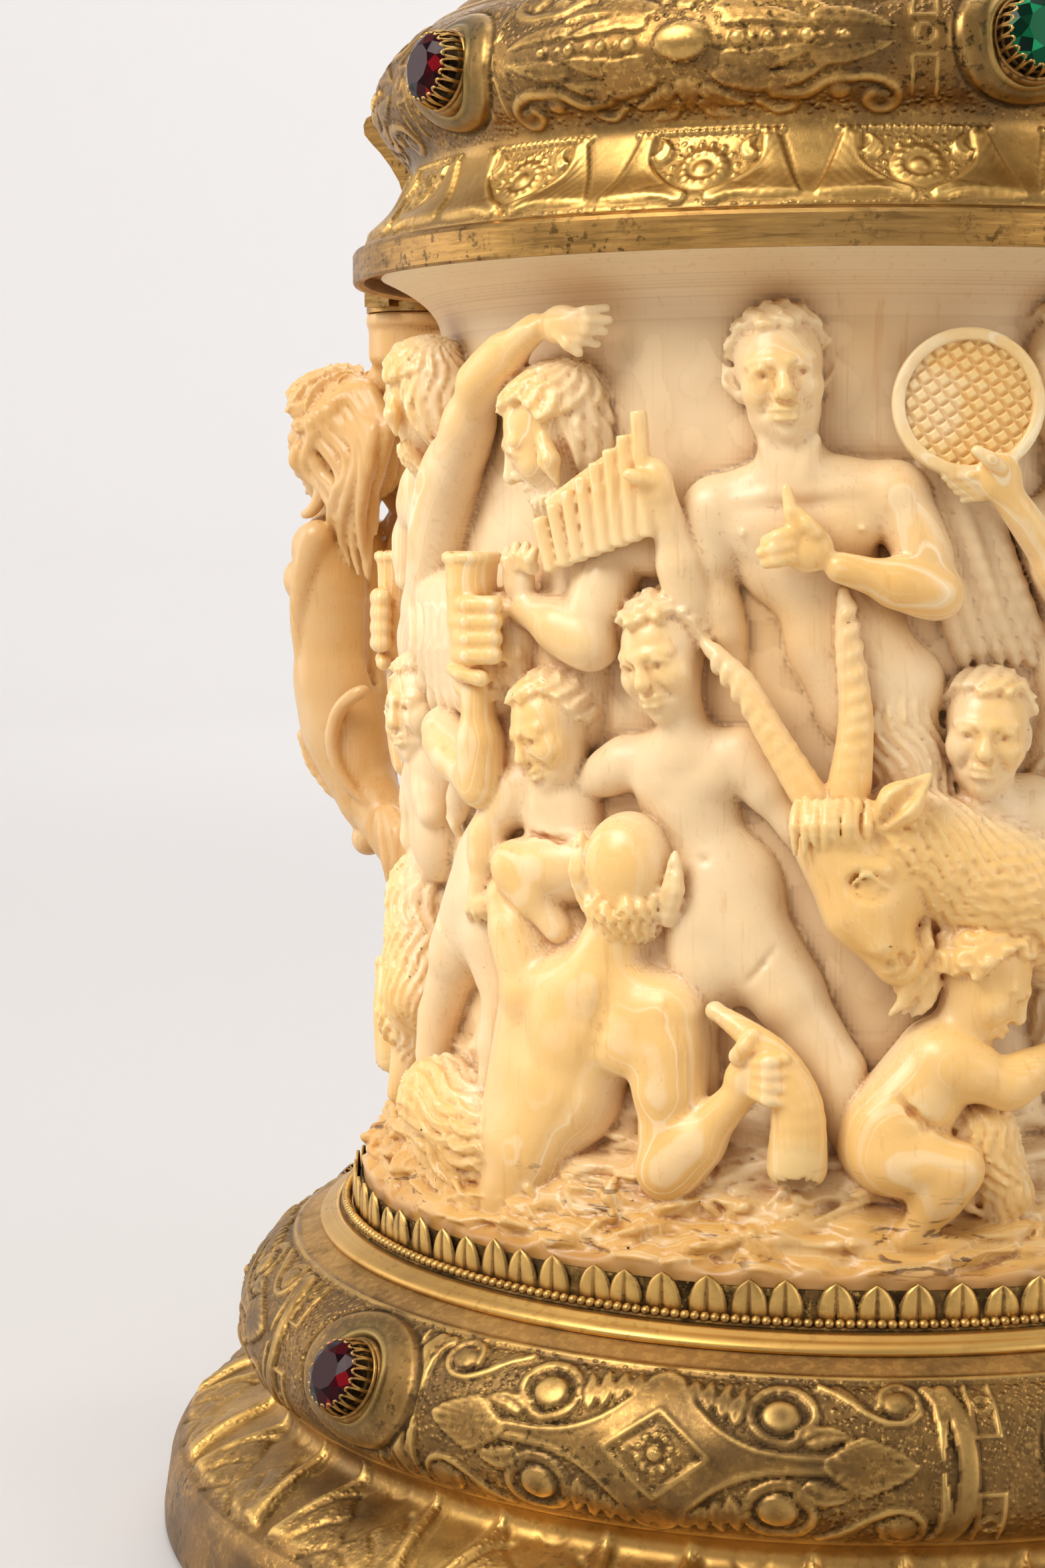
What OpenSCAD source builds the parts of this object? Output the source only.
// Lidded tankard: a carved drum between a chased metal foot and a hinged, jewelled lid.
// Millimetres, +Z up. The origin is the centre of the underside; the handle is at -X.

/* [Foot] */
// Radius of the foot's flange at the floor
foot_r = 93.2; // [92.6:0.2:94]
// Height of the foot's top face, where the drum's seat lies
foot_h = 41.4; // [41.2:0.1:41.6]
// Thickness of the cover under the foot
cover_t = 1.6; // [1.2:0.2:2.4]

/* [Drum] */
// Bore of the carved drum, as a radius
bore_r = 50; // [49.8:0.1:50.2]
// Height of the drum's lip above the floor
lip_z = 170.5; // [170.3:0.1:170.6]
// Wall of the metal liner
liner_t = 1.0; // [0.8:0.1:1.4]

/* [Lid] */
// Outer radius of the lid's rim band
rim_r = 66; // [65.8:0.1:66]
// Height of the finial above its socket
finial_h = 40; // [34:1:44]

/* [Stones] */
// Number of stones round each ring
stones = 5; // [4:1:6]
// Girdle radius of a stone
stone_r = 4.0; // [3.6:0.1:4.2]
// Turn of the lid's ring of stones about the axis, in degrees
stone_turn = -37; // [-40:1:-34]
// Turn of the foot's ring of stones about the axis, in degrees
foot_turn = -31.7; // [-40:0.1:-28]

/* [Hinge] */
// Distance of the hinge axis from the tankard's axis
hinge_x = 74.5; // [74.3:0.1:74.7]
// Height of the hinge axis
hinge_z = 174; // [173.9:0.1:174.1]
// Radius of the hinge pin
pin_r = 1.5; // [1.3:0.1:1.6]
// Radial clearance of the pin in the knuckles
pin_gap = 0.05; // [0.03:0.01:0.08]

/* [Hidden] */
$fn = 96;

gilt = [0.72, 0.53, 0.24];
dull_gilt = [0.60, 0.46, 0.24];
ivory = [0.93, 0.84, 0.66];
steel = [0.62, 0.61, 0.58];
red = [0.45, 0.02, 0.06];
green = [0.02, 0.36, 0.20];

knuckle_r = 3.2;
seat_z = foot_h + 1.6;

// One point on a smooth curve through four points
function cr(a, b, c, d, t) =
    0.5 * (2 * b + (c - a) * t + (2 * a - 5 * b + 4 * c - d) * t * t
           + (3 * b - a - 3 * c + d) * t * t * t);
// A smooth curve through every point of p, with n steps between neighbours
function smooth(p, n) = let (m = len(p) - 1) concat(
    [for (i = [0 : m - 1]) for (k = [0 : n - 1])
        cr(p[max(i - 1, 0)], p[i], p[i + 1], p[min(i + 2, m)], k / n)], [p[m]]);

// Outside of the foot, from the floor to the seat
foot_out = concat([[foot_r, 0], [foot_r, 2], [92.0, 9.2]],
    smooth([[91.2, 10.8], [88.4, 12.7], [85.0, 14.7], [81.4, 16.2], [78.6, 17.6], [78.0, 19.4],
            [79.2, 21.4], [81.0, 23.2], [82.3, 26.2], [82.1, 29.4], [80.8, 33.2], [78.2, 36.6],
            [74.6, 39.2], [70.6, 40.9]], 2), [[69.6, foot_h]]);
// Inside of the foot, from the seat down
foot_in = [[60, foot_h], [60, 39.5], [69.6, 39.3], [73.2, 37.6], [76.4, 35.2], [78.8, 32.4],
    [80.2, 29.2], [80.4, 26.4], [79.2, 24.2], [77.4, 22.6], [76.2, 20.6], [76.0, 18.0],
    [77.0, 16.4], [80.0, 14.8], [83.8, 13.2], [87.2, 11.2], [90.4, 8.6], [90.4, 0]];

// Outside of the drum, at the level of the carving
drum_out = concat([[65.4, seat_z], [65.4, 49.4]],
    smooth([[63.6, 51.6], [62.6, 62], [61.4, 80], [60.8, 100], [60.4, 122], [59.8, 142],
            [57.4, 154], [54.4, 162], [55.0, 165.2], [57.6, 167.8], [60.8, 169.4], [62.4, 170.0]], 2),
    [[62.4, lip_z]]);

// Outside of the lid, from the rim to the crease under the dome
lid_out = concat([[64.4, 174]],
    smooth([[63.5, 175.8], [60.7, 178.4], [58.9, 181.4], [58.0, 184.0], [58.6, 186.0],
            [60.6, 188.0], [62.3, 190.6], [62.9, 193.4], [61.7, 197.0], [58.6, 200.6]], 2),
    [[53.8, 203.6]]);
lid_in = [[50, 203.6], [50, 202.0], [53.2, 202.0], [57.2, 199.6], [60.0, 196.6], [61.2, 193.2],
    [60.6, 191.0], [59.0, 189.0], [57.0, 187.0], [56.2, 184.0], [57.0, 181.2], [59.0, 177.8], [61.6, 174]];

// Dome of the lid, from its foot to the finial's seat
dome_out = concat(smooth([[53.4, 203.6], [52.4, 205.2], [50.0, 206.7], [46.6, 208.0], [41.0, 209.6],
    [35.0, 211.3], [29.6, 213.6], [25.0, 216.8], [21.4, 220.6], [18.8, 224.4]], 2), [[17.6, 225.5]]);
dome_in = [[3, 225.5], [3, 223.6], [16.8, 223.6], [19.6, 219.4], [23.4, 215.2], [28.6, 211.8],
    [34.4, 209.5], [40.6, 207.8], [46.2, 206.2], [50.2, 204.6], [50.4, 203.6]];

// Middle line of the handle: distance from the axis, height, radius
herm = [[60, 159, 5.0], [69, 163, 5.6], [80, 162, 6.6], [91.5, 150, 9.6], [91.0, 138, 7.4],
        [90.4, 126, 10.4], [91.2, 111, 8.2], [89.4, 100, 8.8], [83.6, 89, 6.8], [75.0, 81.5, 6.2], [62, 79, 6.4]];

// Places a child with its +Z along the outward, upward-tilted normal of a ring
module on_ring(r, z, tilt, az)
    rotate([0, 0, az]) translate([r, 0, z]) rotate([0, 90 - tilt, 0]) children();

// Where the stones sit: foot and lid
foot_seat = [82.6, 32.2, 26];
lid_seat = [63.7, 193.6, 8];
red_sites = [for (i = [0 : stones - 1]) if (i % 2 == 1 || i == stones - 1) i];
green_sites = [for (i = [0 : stones - 1]) if (i % 2 == 0 && i < stones - 1) i];
all_sites = concat(red_sites, green_sites);
module foot_sites(list)
    for (i = list) on_ring(foot_seat[0], foot_seat[1], foot_seat[2], foot_turn + 360 / stones * i) children();
module lid_sites(list)
    for (i = list) on_ring(lid_seat[0], lid_seat[1], lid_seat[2], stone_turn + 360 / stones * i) children();

// A round cone from one point of a chain to the next
module limb(a, b) {
    dx = b[0] - a[0]; dz = b[1] - a[1];
    translate([-a[0], 0, a[1]]) rotate([0, atan2(-dx, dz), 0])
        cylinder(h = norm([dx, dz]), r1 = 0.93 * a[2], r2 = 0.93 * b[2]);
}
module joint_ball(a) translate([-a[0], 0, a[1]]) sphere(r = a[2]);

// A cut stone: table, crown, girdle and pavilion
module stone() {
    translate([0, 0, 0.4]) cylinder(h = 2.0, r1 = 1.2, r2 = stone_r - 0.3);
    translate([0, 0, 2.4]) cylinder(h = 0.5, r = stone_r - 0.3);
    translate([0, 0, 2.9]) cylinder(h = 1.3, r1 = stone_r - 0.3, r2 = 2.1);
}
// A round setting, open at both ends, that holds the stone by its girdle
module collet() difference() {
    cylinder(h = 3.0, r = stone_r + 0.6);
    translate([0, 0, -1]) cylinder(h = 5, r = stone_r - 0.25);
}

module drum_envelope() rotate_extrude() polygon(concat([[bore_r, seat_z]], drum_out, [[bore_r, lip_z]]));

module base_shell() color(gilt) {
    rotate_extrude() polygon(concat(foot_out, foot_in));
    // plain bosses under the stones
    difference() {
        foot_sites(all_sites) translate([0, 0, -4]) cylinder(h = 4, r = 6.4);
        rotate_extrude() polygon(concat([[0, 0]], [for (p = foot_out) p - [0.6, 0]], [[0, foot_h]]));
    }
}
module base_cover() color(dull_gilt) difference() {
    cylinder(h = cover_t, r = 90.3);
    for (i = [0 : 4]) rotate([0, 0, 72 * i]) translate([84, 0, 0]) {
        translate([0, 0, -1]) cylinder(h = 5, r = 1.3);
        translate([0, 0, -0.01]) cylinder(h = 1.2, r1 = 2.5, r2 = 1.3);
    }
}
module cover_lugs() color(dull_gilt) for (i = [0 : 4]) rotate([0, 0, 72 * i]) difference() {
    intersection() {
        translate([80, -4, cover_t]) cube([14, 8, 5.4]);
        cylinder(h = 20, r = 90.4);
    }
    translate([84, 0, -1]) cylinder(h = 20, r = 1.05);
}
module cover_screws() color(steel) for (i = [0 : 4]) rotate([0, 0, 72 * i]) translate([84, 0, 0]) difference() {
    union() {
        translate([0, 0, 0.05]) cylinder(h = 6, r = 1.0);
        translate([0, 0, 0.05]) cylinder(h = 1.1, r1 = 2.3, r2 = 1.1);
    }
    translate([-3, -0.3, -1]) cube([6, 0.6, 1.5]);
}
module drum_seat() color(gilt) difference() {
    rotate_extrude() polygon([[0, foot_h], [69.0, foot_h], [69.2, foot_h + 0.5], [68.9, foot_h + 1.2], [68.4, seat_z], [0, seat_z]]);
    translate([0, 0, foot_h - 1]) cylinder(h = 5, r = 3.05);
}
module bead_ring() color(gilt) rotate_extrude() translate([67.6, seat_z + 0.62]) circle(r = 0.62, $fn = 24);
module leaf_gallery() color(gilt) rotate_extrude()
    polygon([[65.45, seat_z], [66.9, seat_z], [66.9, seat_z + 1.6], [66.4, seat_z + 5.2], [65.7, seat_z + 5.6], [65.45, seat_z + 5.2]]);
module ivory_drum() color(ivory) difference() {
    drum_envelope();
    for (z = [159, 79]) translate([-80, 0, z]) rotate([0, 90, 0]) cylinder(h = 40, r = 1.55, $fn = 48);
}
module liner() color(gilt) difference() {
    rotate_extrude() polygon([[0, seat_z], [bore_r - 0.3, seat_z], [bore_r - 0.3, lip_z], [58, lip_z], [58.3, lip_z + 0.3], [58, lip_z + 0.6],
        [bore_r - 0.3 - liner_t, lip_z + 0.6], [bore_r - 0.3 - liner_t, seat_z + 2.4], [bore_r - 1.3 - liner_t, seat_z + 1.2], [0, seat_z + 1.2]]);
}
module tie_stud() color(steel) translate([0, 0, 29]) cylinder(h = seat_z - 29, r = 3);
module tie_plate() color(dull_gilt) difference() {
    translate([0, 0, 37.4]) cylinder(h = 2.0, r = 64);
    translate([0, 0, 30]) cylinder(h = 20, r = 3.05);
}
module tie_nut() color(steel) translate([0, 0, 32.2]) difference() {
    cylinder(h = 5.2, r = 5.8, $fn = 6);
    translate([0, 0, -1]) cylinder(h = 8, r = 3.05);
}
module base_collets() color(gilt) foot_sites(all_sites) collet();
module base_red_stones() color(red) foot_sites(red_sites) stone();
module base_green_stones() color(green) foot_sites(green_sites) stone();

module handle() color(ivory) difference() {
    union() {
        for (i = [0 : len(herm) - 2]) limb(herm[i], herm[i + 1]);
        for (i = [0 : len(herm) - 1]) joint_ball(herm[i]);
        // flat-topped capital under the hinge
        translate([-hinge_x, 0, 160.5]) cylinder(h = 8.3, r1 = 7, r2 = 9);
    }
    rotate_extrude() polygon(concat([[0, seat_z]], drum_out, [[0, lip_z]]));
    for (z = [159, 79]) translate([-70, 0, z]) rotate([0, 90, 0]) cylinder(h = 30, r = 1.55, $fn = 48);
    for (y = [-4.05, 4.05]) translate([-hinge_x - 3, y, 160]) cylinder(h = 20, r = 1.05, $fn = 32);
}
module handle_pins() color(steel) for (z = [159, 79]) translate([-69.5, 0, z]) rotate([0, 90, 0]) cylinder(h = 18.5, r = 1.5, $fn = 48);
module hinge_bracket() color(gilt) difference() {
    union() {
        translate([-hinge_x, 0, 168.8]) cylinder(h = 1.4, r = 8.1);
        for (y = [-10, -1.9, 6.2]) {
            translate([-hinge_x, y, hinge_z]) rotate([-90, 0, 0]) cylinder(h = 3.8, r = knuckle_r);
            translate([-hinge_x - 2.4, y, 169.4]) cube([4.8, 3.8, hinge_z - 169.4]);
        }
    }
    translate([-hinge_x, -20, hinge_z]) rotate([-90, 0, 0]) cylinder(h = 40, r = pin_r + pin_gap);
    for (y = [-4.05, 4.05]) translate([-hinge_x - 3, y, 160]) cylinder(h = 20, r = 1.3, $fn = 32);
}
module bracket_screws() color(steel) for (y = [-4.05, 4.05]) translate([-hinge_x - 3, y, 0]) {
    translate([0, 0, 162]) cylinder(h = 8.2, r = 1.0, $fn = 32);
    translate([0, 0, 170.2]) cylinder(h = 0.5, r1 = 1.8, r2 = 1.4, $fn = 32);
}
module hinge_pin() color(gilt) translate([-hinge_x, 0, hinge_z]) rotate([-90, 0, 0]) {
    translate([0, 0, -10.6]) cylinder(h = 21.2, r = pin_r);
    for (s = [-1, 1]) translate([0, 0, s * 11.2 - 0.9]) cylinder(h = 1.8, r = 2.3);
}

module lid_flange() color(gilt) rotate_extrude()
    polygon([[rim_r, 169.7], [rim_r, 173.2], [rim_r - 0.3, 173.7], [65.1, 174], [60.5, 174], [60.5, 173], [45.2, 173],
             [45.2, 171.4], [64.5, 171.4], [64.5, 169.7], [65.2, 169.4], [65.8, 169.4]]);
module lid_shell() color(gilt) {
    rotate_extrude() polygon(concat(lid_out, lid_in));
    difference() {
        lid_sites(all_sites) translate([0, 0, -4]) cylinder(h = 4, r = 6.4);
        rotate_extrude() polygon(concat([[0, 174]], [for (p = lid_out) p - [0.6, 0]], [[0, 203.6]]));
    }
}
module lid_dome() color(gilt) rotate_extrude() polygon(concat(dome_out, dome_in));
module lid_bezel() color(gilt) rotate_extrude()
    polygon([[45.2, 171.4], [45.2, 164.6], [45.8, 164], [46.8, 164], [47.5, 165], [47.5, 171.4]]);
module lid_lining() color(gilt) translate([0, 0, 169.8]) cylinder(h = 1.2, r = 45.15);
module lid_collets() color(gilt) lid_sites(all_sites) collet();
module lid_red_stones() color(red) lid_sites(red_sites) stone();
module lid_green_stones() color(green) lid_sites(green_sites) stone();
module finial_socket() color(gilt) difference() {
    rotate_extrude() polygon(concat([[0, 225.5]], smooth([[16.8, 225.5], [17.4, 227.2], [15.4, 228.8], [11.0, 230.4],
        [9.4, 232.4], [11.4, 234.4], [12.4, 236.0]], 3), [[10.6, 237.4], [0, 237.4]]));
    translate([0, 0, 220]) cylinder(h = 30, r = 2.05);
}
module finial() color(ivory) translate([0, 0, 237.4]) difference() {
    rotate_extrude() polygon(concat([[0, 0]], smooth([[8.4, 0], [11.6, 4], [14.6, 10], [14.8, 17], [12.4, 25], [8.2, 33], [3.6, finial_h - 1]], 3), [[0, finial_h]]));
    translate([0, 0, -1]) cylinder(h = 19, r = 2.05);
}
module finial_stud() color(steel) translate([0, 0, 217]) cylinder(h = 36, r = 2.0);
module finial_nut() color(steel) translate([0, 0, 219.6]) difference() {
    cylinder(h = 4.0, r = 4.6, $fn = 6);
    translate([0, 0, -1]) cylinder(h = 8, r = 2.05);
}
module hinge_leaf() color(gilt) difference() {
    union() {
        difference() {
            translate([-hinge_x + 3.8, -10, 171.5]) cube([7, 20, 4.5]);
            translate([0, 0, 160]) cylinder(h = 30, r = rim_r, $fn = 192);
        }
        for (y = [-5.9, 2.2]) {
            translate([-hinge_x, y, hinge_z]) rotate([-90, 0, 0]) cylinder(h = 3.7, r = knuckle_r);
            translate([-hinge_x, y, 172.4]) cube([4.4, 3.7, 3.4]);
        }
    }
    translate([-hinge_x, -20, hinge_z]) rotate([-90, 0, 0]) cylinder(h = 40, r = pin_r + pin_gap);
}
module thumbpiece() color(gilt) translate([0, 7, 0]) rotate([90, 0, 0]) linear_extrude(14)
    polygon(concat([[-66.3, 176], [-70.6, 176]],
        smooth([[-70.8, 178], [-71.0, 183], [-72.6, 188], [-76.2, 192.4], [-79.4, 195.4], [-79.0, 197.8], [-76.0, 197.8],
                [-71.2, 193.6], [-68.2, 187.6], [-67.2, 181], [-66.6, 178]], 2)));

base_shell();
base_cover();
cover_lugs();
cover_screws();
drum_seat();
bead_ring();
leaf_gallery();
ivory_drum();
liner();
tie_stud();
tie_plate();
tie_nut();
base_collets();
base_red_stones();
base_green_stones();
handle();
handle_pins();
hinge_bracket();
bracket_screws();
hinge_pin();
lid_flange();
lid_shell();
lid_dome();
lid_bezel();
lid_lining();
lid_collets();
lid_red_stones();
lid_green_stones();
finial_socket();
finial();
finial_stud();
finial_nut();
hinge_leaf();
thumbpiece();
